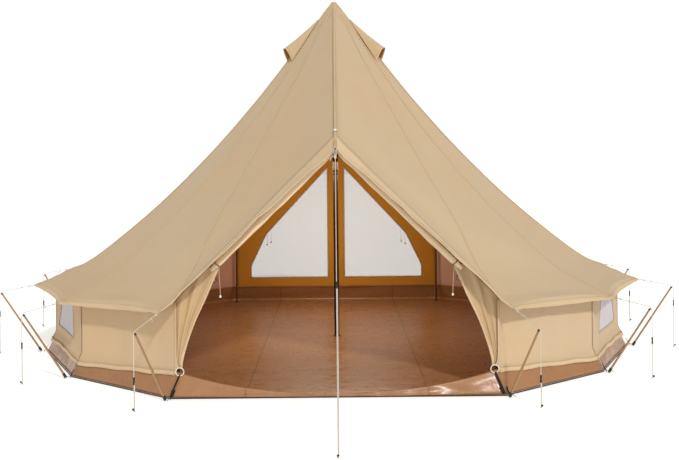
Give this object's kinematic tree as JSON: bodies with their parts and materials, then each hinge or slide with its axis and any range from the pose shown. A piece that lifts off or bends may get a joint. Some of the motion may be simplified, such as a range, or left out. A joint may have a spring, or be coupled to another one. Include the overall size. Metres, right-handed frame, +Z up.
{
  "type": "bell tent",
  "caption": "Round canvas bell tent with a centre pole, two A-frame doors, outrigger poles at its corners, guy lines with sliding runners and a tray groundsheet.",
  "frame": {"origin": "on the ground under the peak, at the middle of the groundsheet's underside", "axes": "+Z up; -Y out through the open front door; +X to the right seen from in front"},
  "size_m": [5.6276, 7.1544, 2.99],
  "materials": {
    "canvas": "plain cotton canvas weave, matt",
    "groundsheet_vinyl": "glossy coated vinyl",
    "brown_pole": "dark brown coated steel tube",
    "tan_pole": "champagne tan coated tube",
    "steel": "galvanised tube",
    "guy_rope": "braided off-white cord",
    "black_plastic": "moulded black",
    "white_plastic": "moulded white"
  },
  "bodies": {
    "tent": {"groundsheet": "groundsheet_vinyl", "roof_canopy": "canvas", "centre_pole_foot": "black_plastic", "centre_pole_lower": "brown_pole", "centre_pole_upper": "brown_pole", "wall_right": "canvas", "vent_hood_right": "canvas", "outrigger_pole_right_1": "tan_pole", "guy_line_right_1": "guy_rope", "outrigger_pole_right_2": "tan_pole", "guy_line_right_2": "guy_rope", "outrigger_pole_right_3": "tan_pole", "guy_line_right_3": "guy_rope", "outrigger_pole_right_4": "tan_pole", "guy_line_right_4": "guy_rope", "outrigger_pole_right_5": "tan_pole", "guy_line_right_5": "guy_rope", "outrigger_pole_right_6": "tan_pole", "guy_line_right_6": "guy_rope", "wall_left": "canvas", "vent_hood_left": "canvas", "outrigger_pole_left_1": "tan_pole", "guy_line_left_1": "guy_rope", "outrigger_pole_left_2": "tan_pole", "guy_line_left_2": "guy_rope", "outrigger_pole_left_3": "tan_pole", "guy_line_left_3": "guy_rope", "outrigger_pole_left_4": "tan_pole", "guy_line_left_4": "guy_rope", "outrigger_pole_left_5": "tan_pole", "guy_line_left_5": "guy_rope", "outrigger_pole_left_6": "tan_pole", "guy_line_left_6": "guy_rope", "front_frame_leg_right": "brown_pole", "front_frame_leg_left": "brown_pole", "front_frame_connector": "steel", "guy_line_front": "guy_rope", "back_frame_leg_right": "brown_pole", "back_frame_leg_left": "brown_pole", "back_frame_connector": "steel", "guy_line_back": "guy_rope"},
    "runner_right_1": {"guy_runner_right_1": "black_plastic"},
    "runner_right_2": {"guy_runner_right_2": "black_plastic"},
    "runner_right_3": {"guy_runner_right_3": "black_plastic"},
    "runner_right_4": {"guy_runner_right_4": "black_plastic"},
    "runner_right_5": {"guy_runner_right_5": "black_plastic"},
    "runner_right_6": {"guy_runner_right_6": "black_plastic"},
    "runner_left_1": {"guy_runner_left_1": "black_plastic"},
    "runner_left_2": {"guy_runner_left_2": "black_plastic"},
    "runner_left_3": {"guy_runner_left_3": "black_plastic"},
    "runner_left_4": {"guy_runner_left_4": "black_plastic"},
    "runner_left_5": {"guy_runner_left_5": "black_plastic"},
    "runner_left_6": {"guy_runner_left_6": "black_plastic"},
    "runner_front": {"guy_runner_front": "black_plastic"},
    "runner_back": {"guy_runner_back": "black_plastic"},
    "front_flap_right": {"front_flap_right": "canvas"},
    "back_door_right": {"back_door_right": "canvas"},
    "front_flap_left": {"front_flap_left": "canvas"},
    "back_door_left": {"back_door_left": "canvas"},
    "back_door_zip_slider": {"back_door_zip_slider": "white_plastic"}
  },
  "joints": [
    {"name": "runner_right_1_slide", "type": "slide", "parent": "tent", "child": "runner_right_1", "axis": [0, 0, 1], "range_m": [-0.13, 0.24]},
    {"name": "runner_right_2_slide", "type": "slide", "parent": "tent", "child": "runner_right_2", "axis": [0, 0, 1], "range_m": [-0.215, 0.155]},
    {"name": "runner_right_3_slide", "type": "slide", "parent": "tent", "child": "runner_right_3", "axis": [0, 0, 1], "range_m": [-0.31, 0.06]},
    {"name": "runner_right_4_slide", "type": "slide", "parent": "tent", "child": "runner_right_4", "axis": [0, 0, 1], "range_m": [-0.21, 0.16]},
    {"name": "runner_right_5_slide", "type": "slide", "parent": "tent", "child": "runner_right_5", "axis": [0, 0, 1], "range_m": [-0.18, 0.19]},
    {"name": "runner_right_6_slide", "type": "slide", "parent": "tent", "child": "runner_right_6", "axis": [0, 0, 1], "range_m": [-0.15, 0.22]},
    {"name": "runner_left_1_slide", "type": "slide", "parent": "tent", "child": "runner_left_1", "axis": [0, 0, 1], "range_m": [-0.14, 0.23]},
    {"name": "runner_left_2_slide", "type": "slide", "parent": "tent", "child": "runner_left_2", "axis": [0, 0, 1], "range_m": [-0.22, 0.15]},
    {"name": "runner_left_3_slide", "type": "slide", "parent": "tent", "child": "runner_left_3", "axis": [0, 0, 1], "range_m": [-0.27, 0.1]},
    {"name": "runner_left_4_slide", "type": "slide", "parent": "tent", "child": "runner_left_4", "axis": [0, 0, 1], "range_m": [-0.17, 0.2]},
    {"name": "runner_left_5_slide", "type": "slide", "parent": "tent", "child": "runner_left_5", "axis": [0, 0, 1], "range_m": [-0.19, 0.18]},
    {"name": "runner_left_6_slide", "type": "slide", "parent": "tent", "child": "runner_left_6", "axis": [0, 0, 1], "range_m": [-0.145, 0.225]},
    {"name": "runner_front_slide", "type": "slide", "parent": "tent", "child": "runner_front", "axis": [0, 0.6155, 0.7881], "range_m": [-0.973, 0.897]},
    {"name": "runner_back_slide", "type": "slide", "parent": "tent", "child": "runner_back", "axis": [0, -0.6155, 0.7881], "range_m": [-0.973, 0.897]},
    {"name": "front_flap_right_swing", "type": "hinge", "parent": "tent", "child": "front_flap_right", "pos_m": [0, -2.14094, 1.73073], "axis": [-0.7136, 0, 0.7005], "range_deg": [0, 35]},
    {"name": "back_door_right_swing", "type": "hinge", "parent": "tent", "child": "back_door_right", "pos_m": [0, 2.15804, 1.7217], "axis": [0.7152, 0, -0.6989], "range_deg": [0, 35]},
    {"name": "front_flap_left_swing", "type": "hinge", "parent": "tent", "child": "front_flap_left", "pos_m": [0, -2.14094, 1.73073], "axis": [-0.7136, 0, -0.7005], "range_deg": [0, 35]},
    {"name": "back_door_left_swing", "type": "hinge", "parent": "tent", "child": "back_door_left", "pos_m": [0, 2.15804, 1.7217], "axis": [0.7152, 0, 0.6989], "range_deg": [0, 35]},
    {"name": "back_door_zip_slide", "type": "slide", "parent": "tent", "child": "back_door_zip_slider", "axis": [0, 0, 1], "range_m": [0, 1.3]}
  ]
}
